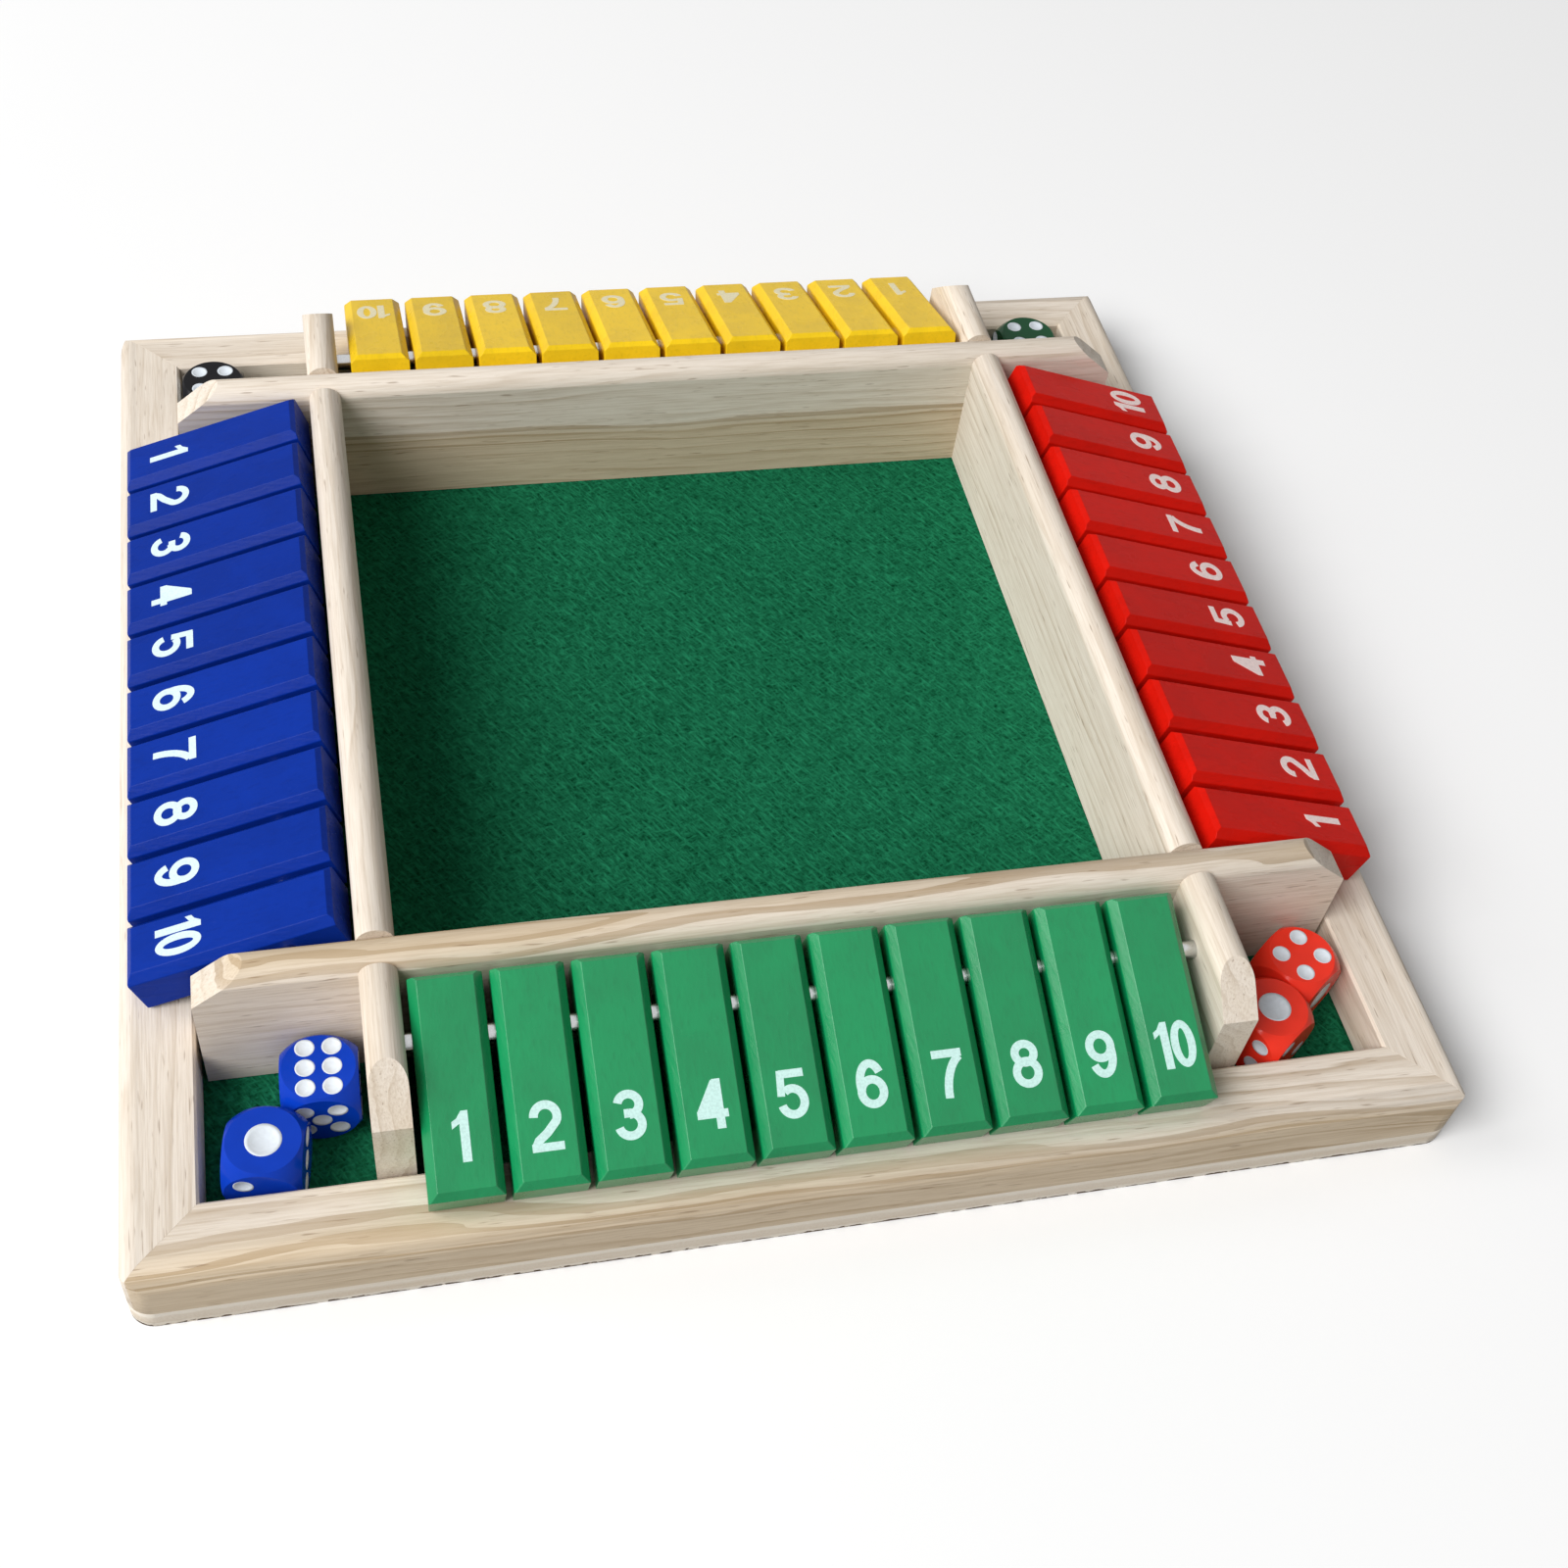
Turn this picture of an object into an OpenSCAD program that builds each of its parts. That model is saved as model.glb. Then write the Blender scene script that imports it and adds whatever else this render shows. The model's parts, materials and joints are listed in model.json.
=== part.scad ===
// Four-player shut the box board. Forty numbered tiles flip on four wire rods round a
// felted tray, and each corner well keeps a pair of dice. Millimetres, +Z up, origin at
// the middle of the underside. Players sit at -Y, +X, +Y and -X.

/* [Board] */
// Outer width of the square board
board_w = 288; // [284:1:300]
// Thickness of the plywood base
base_t = 5.5; // [3:0.5:8]
// Thickness of the felt glued to the base
felt_t = 1.5; // [0.5:0.5:2]
// Width of each mitred rail
rail_w = 16; // [14:0.5:18]
// Height of each rail above the base
rail_h = 13.5; // [12:0.5:15]
// Radius of the rails' rounded outer top edge
rail_round = 5; // [1:0.5:6]
// Radius of the board's upright corners
corner_round = 5.5; // [1:0.5:6]

/* [Tray walls] */
// From the middle of the board to the middle of each wall
wall_c = 89.4; // [89:0.1:90]
// Thickness of the walls and dividers, which is also their bullnose diameter
wall_t = 8; // [6:0.5:8]
// Height of the wall tops above the table
wall_top = 44.5; // [43:0.5:46]
// Length of the slanted clip on the free wall ends
clip_run = 11; // [4:0.2:11.4]
// Height that the clip takes off the free wall ends
clip_drop = 9.2; // [4:0.2:9.4]
// Gap between the free wall ends and the rails
wall_gap = 1.2; // [0.2:0.1:1.5]

/* [Tiles] */
// Tiles in each row
tile_count = 10; // [4:1:10]
// Length of a tile
tile_l = 45.6; // [42:0.2:45.6]
// Width of a tile
tile_w = 15.2; // [13:0.1:15.6]
// Thickness of a tile
tile_t = 11.8; // [10:0.2:12]
// Distance from one tile to the next
tile_pitch = 16.7; // [16:0.1:16.7]
// Chamfer along the sides of a tile's numbered face
side_bevel = 1.9; // [1:0.1:2.5]
// Chamfer across the outer end of the numbered face
toe_bevel = 1.6; // [1.6:0.1:2.5]
// Chamfer across its inner end
heel_bevel = 1; // [0.5:0.1:2]
// Chamfer round a tile's underside
tile_ease = 1; // [0.5:0.1:1.5]
// From a tile's inner end to its rod
rod_inset = 12; // [11:0.2:12.2]

/* [Rods] */
// Diameter of the wire rods
rod_d = 4; // [3:0.5:4]
// From the middle of the board to each rod
rod_u = 107; // [106.8:0.1:108]
// Height of the rods above the table
rod_z = 35; // [34:0.25:36]
// Depth of the blind holes that hold the rod ends
rod_hole_depth = 5; // [3:0.5:6]
// Radial clearance of a tile on its rod
tile_fit = 0.05; // [0.02:0.01:0.1]
// Radial clearance of a rod end in its hole
rod_fit = 0.02; // [0.01:0.01:0.05]

/* [Dice] */
// Width of a die
die_w = 16; // [14:0.5:16]
// Diameter of the ball that rounds a die's corners
die_ball_d = 22; // [20:0.2:22.4]
// Diameter of a pip
pip_d = 4.1; // [3:0.1:4.2]
// Depth of a pip
pip_depth = 0.6; // [0.3:0.1:0.8]
// Diameter of the single pip on the one face
big_pip_d = 7.4; // [4:0.1:8]
// Depth of the single pip
big_pip_depth = 0.9; // [0.4:0.1:1.2]
// Spread of the corner pips from the middle of a face
pip_spread = 3.4; // [3:0.1:3.6]
// Column spread and row spread of the six face
six_spread = [2.75, 4.75];

/* [Hidden] */
$fn = 48;
rail_top = base_t + rail_h;
floor_z = base_t + felt_t;
opening = board_w - 2 * rail_w;
wall_in = wall_c - wall_t / 2;
wall_out = wall_c + wall_t / 2;
wall_end = opening / 2 - wall_gap;
edge_ease = 0.6;
seat_gap = 0.05;
cut = 1;

// A tile rests with the underside of its outer end on the rail.
tile_reach = tile_l - rod_inset - tile_ease;
tile_half = tile_t / 2;
tile_tilt = asin((rod_z - rail_top - seat_gap) / norm([tile_reach, tile_half]))
    - atan2(tile_half, tile_reach);

// Each row: name, turn about the board's middle, how far its tiles have slid along
// their rod, colour. The tiles have side play, and slid to their player's left the end
// tiles of two rows pass each other at a corner when both are flipped.
ROWS = [
    ["green", 0, -1.2, "#349968"],
    ["red", 90, -0.8, "#B8221C"],
    ["yellow", 180, -0.8, "#E0BC3E"],
    ["blue", 270, -1.1, "#173C9E"],
];

// Each die: name, place of its middle, turn about +Z, roll that brings a face up, colour.
DIE_ONE_UP = [0, 0, 0];
DIE_TWO_UP = [-90, 0, 0];
DIE_THREE_UP = [0, -90, 0];
DIE_FOUR_UP = [0, 90, 0];
DIE_FOUR_UP_ONE_NEAR = [0, 90, -90];
DIE_SIX_UP = [180, 0, 0];
DICE = [
    ["blue_die_1", [-103.2, -102.9], -2, DIE_SIX_UP, "#1038B0"],
    ["blue_die_2", [-114.9, -118.3], -9, DIE_ONE_UP, "#1038B0"],
    ["red_die_1", [116.2, -104.5], 34, DIE_FOUR_UP_ONE_NEAR, "#C42A20"],
    ["red_die_2", [104.7, -117.1], 33, DIE_ONE_UP, "#C42A20"],
    ["black_die_1", [-118.8, 117.2], 0, DIE_FOUR_UP, "#18181A"],
    ["black_die_2", [-102.4, 102.4], 0, DIE_TWO_UP, "#18181A"],
    ["green_die_1", [115.3, 119.4], 0, DIE_FOUR_UP, "#15603C"],
    ["green_die_2", [102.4, 102.4], 0, DIE_THREE_UP, "#15603C"],
];

RAILS = ["rail_front", "rail_right", "rail_back", "rail_left"];

// Square footprint with rounded corners.
module footprint(w, r) {
    square([w, w - 2 * r], center = true);
    square([w - 2 * r, w], center = true);
    for (x = [-1, 1], y = [-1, 1])
        translate([x, y] * (w / 2 - r)) circle(r = r);
}

module base_board() {
    color("#E6D6BC") linear_extrude(base_t) footprint(board_w, corner_round);
}

module felt() {
    color("#1A6B4A") translate([0, 0, base_t])
        linear_extrude(felt_t) square(opening - 2 * seat_gap, center = true);
}

// Rail section: inner face on the axis, outward to the right, upwards.
module rail_profile() {
    polygon([
        [0, 0], [rail_w, 0], [rail_w, rail_h - rail_round],
        [rail_w - rail_round, rail_h], [edge_ease, rail_h], [0, rail_h - edge_ease],
    ]);
    translate([rail_w - rail_round, rail_h - rail_round]) circle(r = rail_round);
}

// Front rail, mitred at both ends; turned about +Z it makes the other three.
module rail(turn) {
    outer = board_w / 2;
    inner = opening / 2;
    color("#E2D2B8") rotate([0, 0, turn]) translate([0, 0, base_t])
        intersection() {
            translate([0, -inner, 0]) rotate([90, 0, -90]) mirror([0, 0, 1])
                translate([0, 0, -outer]) linear_extrude(board_w) rail_profile();
            linear_extrude(rail_h) intersection() {
                footprint(board_w, corner_round);
                polygon([[-outer, -outer], [outer, -outer], [inner, -inner], [-inner, -inner]]);
            }
        }
}

// Bullnose bar along X, standing on the felt, its middle at x = 0.
module bullnose_bar(l) {
    h = wall_top - floor_z;
    r = wall_t / 2;
    translate([-l / 2, 0, floor_z]) rotate([90, 0, 90]) linear_extrude(l) {
        translate([-r, 0]) square([wall_t, h - r]);
        translate([0, h - r]) circle(r = r);
    }
}

// Side outline of a bar from x1 to x2, its top corner clipped at x2 and, if both, at x1.
module clipped_side(x1, x2, both) {
    run = both ? clip_run : 0;
    drop = both ? clip_drop : 0;
    translate([0, wall_t, 0]) rotate([90, 0, 0]) linear_extrude(2 * wall_t)
        polygon([
            [x1, floor_z], [x2, floor_z], [x2, wall_top - clip_drop], [x2 - clip_run, wall_top],
            [x1 + run, wall_top], [x1, wall_top - drop],
        ]);
}

// Long wall across the front or back, with blind holes for the side rows' rods.
module long_wall(side) {
    color("#E8DCCB") difference() {
        translate([0, side * wall_c, 0]) intersection() {
            bullnose_bar(2 * wall_end);
            clipped_side(-wall_end, wall_end, both = true);
        }
        for (x = [-rod_u, rod_u]) translate([x, side * wall_in, rod_z])
            rotate([90, 0, 0]) cylinder(h = 2 * rod_hole_depth, r = rod_d / 2 + rod_fit, center = true);
    }
}

// Short wall between the long walls, its square ends butted to their flat sides.
module short_wall(side) {
    color("#E4D7C3") translate([side * wall_c, 0, 0]) rotate([0, 0, 90])
        bullnose_bar(2 * wall_in);
}

// Divider between a long wall and a rail, with a blind hole for the rod.
module divider(x_side, y_side) {
    mirror([x_side > 0 ? 0 : 1, 0, 0]) mirror([0, y_side > 0 ? 1 : 0, 0]) difference() {
        translate([wall_c, 0, 0]) rotate([0, 0, -90]) intersection() {
            bullnose_bar(2 * wall_end);
            clipped_side(wall_out, wall_end, both = false);
        }
        translate([wall_in, -rod_u, rod_z]) rotate([0, 90, 0])
            cylinder(h = 2 * rod_hole_depth, r = rod_d / 2 + rod_fit, center = true);
    }
}

module dividers() {
    color("#E4D7C3") for (x = [-1, 1], y = [-1, 1]) divider(x, y);
}

// Four wire rods, each end seated at the bottom of its hole.
module rods() {
    half = wall_in + rod_hole_depth;
    color("#C9CCD0") for (row = ROWS)
        rotate([0, 0, row[1]]) translate([-half, -rod_u, rod_z])
            rotate([0, 90, 0]) cylinder(h = 2 * half, r = rod_d / 2);
}

// Outline of a block from [a, c] to [b, d], its top corners cut by ta and tb and its
// lower ones by tile_ease.
module eased_outline(a, b, c, d, ta, tb) {
    e = tile_ease;
    polygon([
        [a + e, c], [b - e, c], [b, c + e], [b, d - tb],
        [b - tb, d], [a + ta, d], [a, d - ta], [a, c + e],
    ]);
}

// Tile with its rod bore on the X axis, its outer end towards -Y, its numbered face up.
module tile() {
    outer = tile_l - rod_inset;
    difference() {
        intersection() {
            translate([-tile_w / 2, 0, 0]) rotate([90, 0, 90]) linear_extrude(tile_w)
                eased_outline(-outer, rod_inset, -tile_half, tile_half, toe_bevel, heel_bevel);
            translate([0, rod_inset, 0]) rotate([90, 0, 0]) linear_extrude(tile_l)
                eased_outline(-tile_w / 2, tile_w / 2, -tile_half, tile_half, side_bevel, side_bevel);
        }
        rotate([0, 90, 0])
            cylinder(h = tile_w + 2 * cut, r = rod_d / 2 + tile_fit, center = true);
    }
}

// Tile number n of a row, counted from the player's left, leaning out on the rail.
module placed_tile(row, n) {
    color(row[3]) rotate([0, 0, row[1]])
        translate([(n - (tile_count + 1) / 2) * tile_pitch + row[2], -rod_u, rod_z])
            rotate([tile_tilt, 0, 0]) tile();
}

// Ball that cuts a dimple of diameter d and depth t into the top face of a die.
module dimple(d, t) {
    r = (pow(d / 2, 2) + pow(t, 2)) / (2 * t);
    translate([0, 0, die_w / 2 - t + r]) sphere(r = r);
}

function cross_pips(s) = [[-s, s], [s, -s]];
function corner_pips(s) = [for (x = [-s, s], y = [-s, s]) [x, y]];
function six_pips() = [for (x = [-1, 1], y = [-1, 0, 1]) [x * six_spread[0], y * six_spread[1]]];
function pip_places(n) =
    n == 2 ? cross_pips(pip_spread) :
    n == 3 ? concat(cross_pips(pip_spread), [[0, 0]]) :
    n == 4 ? corner_pips(pip_spread) :
    n == 5 ? concat(corner_pips(pip_spread), [[0, 0]]) : six_pips();

module pip_face(n) {
    if (n == 1) dimple(big_pip_d, big_pip_depth);
    else for (p = pip_places(n)) translate([p[0], p[1], 0]) dimple(pip_d, pip_depth);
}

// Die with one up, two towards -Y and three towards +X; opposite faces add up to seven.
module die_solid() {
    difference() {
        intersection() {
            cube(die_w, center = true);
            sphere(d = die_ball_d);
        }
        pip_face(1);
        rotate([180, 0, 0]) pip_face(6);
        rotate([90, 0, 0]) pip_face(2);
        rotate([-90, 0, 0]) pip_face(5);
        rotate([0, 90, 0]) pip_face(3);
        rotate([0, -90, 0]) pip_face(4);
    }
}

module placed_die(die) {
    color(die[4]) translate([die[1][0], die[1][1], floor_z + seat_gap + die_w / 2])
        rotate([0, 0, die[2]]) rotate(die[3]) die_solid();
}

base_board();
felt();
for (i = [0:3]) rail(90 * i);
long_wall(-1);  // wall_front
long_wall(1);  // wall_back
short_wall(-1);  // wall_left
short_wall(1);  // wall_right
dividers();
rods();
for (n = [1:tile_count], row = ROWS)
    placed_tile(row, n);
for (die = DICE) placed_die(die);
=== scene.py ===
"""Looks of a four-player shut the box board: pine, plywood, felt, paint, wire and acrylic."""

import json
import math

import bmesh
import bpy
from bpy.props import FloatProperty, FloatVectorProperty, PointerProperty
from mathutils import Matrix, Vector, noise
from mathutils.geometry import delaunay_2d_cdt


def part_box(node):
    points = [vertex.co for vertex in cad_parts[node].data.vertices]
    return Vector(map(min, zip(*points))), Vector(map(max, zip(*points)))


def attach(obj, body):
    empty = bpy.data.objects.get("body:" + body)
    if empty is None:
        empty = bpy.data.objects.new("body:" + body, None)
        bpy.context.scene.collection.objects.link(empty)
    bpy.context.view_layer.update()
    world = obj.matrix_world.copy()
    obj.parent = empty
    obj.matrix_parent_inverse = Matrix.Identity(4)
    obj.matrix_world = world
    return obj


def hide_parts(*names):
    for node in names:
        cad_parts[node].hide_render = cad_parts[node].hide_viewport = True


bl_info = {
    "name": "Shut the Box Board",
    "version": (1, 0, 0),
    "blender": (4, 5, 0),
    "location": "3D View > Sidebar > Shut the Box",
    "description": "Finishes a four-player shut the box board and stages it for a picture",
    "category": "Object",
}

MM = 0.001
ROWS = ("green", "red", "yellow", "blue")
TILES_PER_ROW = 10
DICE = tuple(f"{colour}_die_{n}" for colour in ("blue", "red", "black", "green") for n in (1, 2))

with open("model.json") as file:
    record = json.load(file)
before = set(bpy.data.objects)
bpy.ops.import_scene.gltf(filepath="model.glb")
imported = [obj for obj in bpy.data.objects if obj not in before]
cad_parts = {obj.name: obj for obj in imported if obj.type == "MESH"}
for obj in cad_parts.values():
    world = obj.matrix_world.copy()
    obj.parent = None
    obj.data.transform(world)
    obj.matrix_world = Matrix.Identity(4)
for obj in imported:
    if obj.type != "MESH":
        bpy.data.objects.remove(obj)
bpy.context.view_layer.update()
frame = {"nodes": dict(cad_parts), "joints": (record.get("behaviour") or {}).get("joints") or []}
joint_of = {joint["child"]: joint for joint in frame["joints"]}


def srgb(code):
    """Linear colour of an sRGB hex value."""
    parts = [int(code[i:i + 2], 16) / 255 for i in (1, 3, 5)]
    return tuple(c / 12.92 if c <= 0.04045 else ((c + 0.055) / 1.055) ** 2.4 for c in parts)


def colour_property(name, code, description):
    """Property for a colour, with an sRGB hex value as its default."""
    return FloatVectorProperty(
        name=name, description=description, subtype="COLOR", size=3, min=0, max=1,
        default=srgb(code),
    )


def length_property(name, millimetres, description):
    """Property for a length, with its default in millimetres."""
    return FloatProperty(
        name=name, description=description, subtype="DISTANCE", unit="LENGTH", min=0,
        default=millimetres * MM, precision=5,
    )


class PineFinish(bpy.types.PropertyGroup):
    """Colours and grain of the bare pine and plywood"""

    pale: colour_property("Pale", "#EBE0D2", "Sapwood between the rings")
    tan: colour_property("Tan", "#D2BEA0", "Warmer patches of the board")
    ring: colour_property("Ring", "#9E8159", "Latewood at the end of each year's growth")
    pore: colour_property("Pore", "#7D5E3E", "Short dark resin streaks")
    # Painted shade: colour of the ragged dark line along the foot of the base's edge, where it
    # meets the floor.
    grime: colour_property("Grime", "#5C4A37", "Dirt along the base's worn bottom edge")
    ply_face: colour_property("Ply face", "#EFE6D8", "Face veneers of the plywood base")
    ply_core: colour_property("Ply core", "#B99C74", "Core veneer of the plywood base")
    ring_width: length_property("Ring width", 3.4, "Width of one year's growth")
    sanded_edge: length_property("Sanded edge", 0.35, "How far sharp edges are eased by sanding")


class PaintFinish(bpy.types.PropertyGroup):
    """Colours of the satin tile paint"""

    green: colour_property("Green", "#0A8A52", "Front row")
    red: colour_property("Red", "#CF170B", "Right row")
    yellow: colour_property("Yellow", "#EFC71E", "Back row")
    blue: colour_property("Blue", "#0A2F92", "Left row")
    rounded_edge: length_property("Rounded edge", 0.55, "How far the paint rounds sharp edges")


class NumeralSizes(bpy.types.PropertyGroup):
    """Sizes and colours of the printed numerals"""

    height: length_property("Height", 10.2, "Height of a numeral")
    width: length_property("Width", 6.4, "Width of a numeral other than one")
    stroke: length_property("Stroke", 1.75, "Width of a numeral's stroke")
    baseline: length_property("Baseline", 26.6, "From the rod out to the foot of a numeral")
    ink_depth: length_property("Ink depth", 0.06, "Thickness of the printed ink")
    ink_green: colour_property("Ink on green", "#D2F6EF", "White ink with the green under it")
    ink_red: colour_property("Ink on red", "#FFE8E4", "White ink with the red under it")
    ink_yellow: colour_property("Ink on yellow", "#F2E8C2", "White ink with the yellow under it")
    ink_blue: colour_property("Ink on blue", "#DCF0F8", "White ink with the blue under it")


class FeltFinish(bpy.types.PropertyGroup):
    """Colours and pile of the felt"""

    # Painted highlight and painted shade over the fibres' mottle: the light colour goes on raised
    # pile, the deep colour in its hollows.
    light: colour_property("Light", "#26865E", "Fibres that catch the light")
    deep: colour_property("Deep", "#043820", "Hollows between the fibres")
    tuft: length_property("Tuft", 1.0, "Spacing of the felt's mottling")
    swell: length_property("Swell", 0.18, "How far the glued felt rises and falls")


class DiceFinish(bpy.types.PropertyGroup):
    """Colours of the moulded dice"""

    blue: colour_property("Blue", "#083AB4", "Blue pair")
    red: colour_property("Red", "#F63825", "Red pair")
    black: colour_property("Black", "#0B0B10", "Black pair")
    green: colour_property("Green", "#064A28", "Green pair")
    enamel: colour_property("Enamel", "#E4ECF4", "White enamel in the pips")


class StageSettings(bpy.types.PropertyGroup):
    """Floor, light and camera"""

    floor: colour_property("Floor", "#BEBEBE", "Pale floor, as it lights the board")
    window: FloatProperty(
        name="Window", description="Power of the large soft window", unit="POWER", min=0,
        default=162,
    )
    pane: FloatProperty(
        name="Pane", description="Power of the small far window", unit="POWER", min=0, default=32,
    )
    sky: FloatProperty(
        name="Sky", description="Strength of the light from all round", min=0, default=0.2,
    )
    lens: FloatProperty(
        name="Lens", description="Focal length", unit="CAMERA", min=1, default=45.416,
    )


class ShutBoxSettings(bpy.types.PropertyGroup):
    """All settings of the board"""

    pine: PointerProperty(type=PineFinish)
    paint: PointerProperty(type=PaintFinish)
    numerals: PointerProperty(type=NumeralSizes)
    felt: PointerProperty(type=FeltFinish)
    dice: PointerProperty(type=DiceFinish)
    stage: PointerProperty(type=StageSettings)


# ---------------------------------------------------------------- materials

PER_MM = (1 / MM,) * 3
# A colour Mix node's sockets by number, because their names repeat.
MIX_FACTOR, MIX_BELOW, MIX_ABOVE, MIX_RESULT = 0, 6, 7, 2


def add_node(tree, kind, inputs=None, ramp=None, **settings):
    """Adds a shader node with its settings, its inputs' values or links, and its ramp's stops."""
    node = tree.nodes.new(f"ShaderNode{kind}")
    for key, value in settings.items():
        setattr(node, key, value)
    for key, value in (inputs or {}).items():
        socket = node.inputs[key]
        if isinstance(value, bpy.types.Node):
            value = next(out for out in value.outputs if out.enabled)
        if isinstance(value, bpy.types.NodeSocket):
            tree.links.new(value, socket)
        elif socket.type == "RGBA":
            socket.default_value = (*value, 1)
        else:
            socket.default_value = value
    if ramp:
        stops = node.color_ramp.elements
        while len(stops) < len(ramp):
            stops.new(1.0)
        for stop, (place, shade) in zip(stops, ramp):
            stop.position, stop.color = place, (shade, shade, shade, 1)
    return node


def new_material(name, roughness, **values):
    """A material with its Principled shader; values set the shader's own sockets."""
    material = bpy.data.materials.new(name)
    material.use_nodes = True
    shader = material.node_tree.nodes["Principled BSDF"]
    shader.inputs["Roughness"].default_value = roughness
    for socket, value in values.items():
        shader.inputs[socket.replace("_", " ")].default_value = value
    return material, material.node_tree, shader


# How far the rings wander along a board, and the heartwood's edge waves, millimetres.
RING_WANDER = 13
HEART_WAVES = 4.0
# Dark lines at the heartwood's edge: how far inside it, and half their width, millimetres.
HEART_LINES = ((0, 0.8), (2.6, 0.4), (5.4, 0.35))


def sanded_pine(name, turn, pith, seed, rings, warmth, heart, tilt):
    """Bare pine, planed and sanded: growth rings round a pith line, resin streaks, fine fibres.

    Turn and tilt are the directions of the fibres, and pith the middle of the log, millimetres
    across and above; wood nearer to it than heart is tan heartwood. A sanded face is matt, and
    the hard latewood stands a hair proud, so the rings catch the light as fine lines. Rings sets
    how dark they are, and warmth how much of the sapwood is tan. Layers of grain are in
    millimetres along, across and above. A fibre is 0.03 mm wide, too fine to show, so fibres
    are drawn 0.5 mm wide.
    """
    wood = bpy.context.scene.shut_box.pine
    material, tree, shader = new_material(name, roughness=0.6, Specular_IOR_Level=0.2)
    place = add_node(tree, "TexCoord").outputs["Object"]
    board = add_node(tree, "Mapping", {
        "Vector": place, "Scale": PER_MM, "Location": (seed * 37.0, pith[0], pith[1]),
        "Rotation": (0, math.radians(tilt), math.radians(-turn)),
    })
    made = {}
    for layer, cell, detail, roughness in (
        ("wander", (110, 24, 24), 1.5, 0.5), ("uneven", (55, 5, 5), 2, 0.5),
        ("faded", (85, 9, 9), 2, 0.5), ("patches", (140, 14, 14), 2, 0.5),
        ("fibres", (14, 0.5, 0.5), 3, 0.65), ("streaks", (7, 0.6, 0.6), 1, 0.5),
    ):
        stretched = add_node(tree, "VectorMath", {
            0: board, 1: tuple(1 / c for c in cell),
        }, operation="MULTIPLY")
        made[layer] = add_node(tree, "TexNoise", {
            "Vector": stretched, "Scale": 1, "Detail": detail, "Roughness": roughness,
        })
    swing = add_node(tree, "VectorMath", {
        0: made["wander"].outputs["Color"], 1: (0, RING_WANDER, RING_WANDER), 2: board,
    }, operation="MULTIPLY_ADD")
    across = add_node(tree, "VectorMath", {0: swing, 1: (0, 1, 1)}, operation="MULTIPLY")
    radius = add_node(tree, "VectorMath", {0: across}, operation="LENGTH").outputs["Value"]
    years = add_node(tree, "Math", {0: radius, 1: MM / wood.ring_width}, operation="MULTIPLY")
    years = add_node(tree, "Math", {0: made["uneven"], 1: 1.2, 2: years}, operation="MULTIPLY_ADD")
    season = add_node(tree, "Math", {0: years}, operation="FRACT")
    latewood = add_node(tree, "ValToRGB", {"Fac": season}, ramp=(
        (0, 0), (0.4, 0.05), (0.76, 0.5), (0.93, 1), (1, 0),
    ))
    faded = add_node(tree, "MapRange", {
        "Value": made["faded"], "From Min": 0.38, "From Max": 0.66, "To Min": 0.08, "To Max": rings,
    })
    latewood = add_node(tree, "Math", {0: latewood, 1: faded}, operation="MULTIPLY")
    patches = add_node(tree, "MapRange", {
        "Value": made["patches"], "From Min": 0.6 - 0.5 * warmth, "From Max": 0.95 - 0.5 * warmth,
        "To Max": 0.35 + 0.65 * warmth,
    })
    wavy = add_node(tree, "Math", {
        0: made["uneven"], 1: HEART_WAVES, 2: radius,
    }, operation="MULTIPLY_ADD")
    wavy = add_node(tree, "Math", {0: wavy, 1: HEART_WAVES / 2}, operation="SUBTRACT")
    heartwood = add_node(tree, "MapRange", {
        "Value": wavy, "From Min": heart - 2.5, "From Max": heart + 2.0,
        "To Min": 0.8, "To Max": 0,
    })
    patches = add_node(tree, "Math", {0: patches, 1: heartwood}, operation="MAXIMUM")
    for inside, half_width in HEART_LINES:
        line = add_node(tree, "Math", {
            0: wavy, 1: heart - inside, 2: half_width,
        }, operation="COMPARE")
        line = add_node(tree, "Math", {0: line, 1: made["faded"]}, operation="MULTIPLY")
        latewood = add_node(tree, "Math", {0: latewood, 1: line}, operation="MAXIMUM")
    fibres = add_node(tree, "MapRange", {
        "Value": made["fibres"], "From Min": 0.42, "From Max": 0.8, "To Max": 0.38,
    })
    streaks = add_node(tree, "MapRange", {
        "Value": made["streaks"], "From Min": 0.68, "From Max": 0.78, "To Max": 0.5,
    })
    body = add_node(tree, "Mix", {
        MIX_FACTOR: patches, MIX_BELOW: wood.pale, MIX_ABOVE: wood.tan,
    }, data_type="RGBA")
    for mask, colour in ((latewood, wood.ring), (fibres, wood.ring), (streaks, wood.pore)):
        body = add_node(tree, "Mix", {
            MIX_FACTOR: mask, MIX_BELOW: body, MIX_ABOVE: colour,
        }, data_type="RGBA")
    tree.links.new(body.outputs[MIX_RESULT], shader.inputs["Base Color"])
    relief = add_node(tree, "Math", {
        0: latewood, 1: 0.5, 2: made["fibres"],
    }, operation="MULTIPLY_ADD")
    bump = add_node(tree, "Bump", {"Height": relief, "Distance": 0.06 * MM})
    tree.links.new(bump.outputs[0], shader.inputs["Normal"])
    return material


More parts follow.
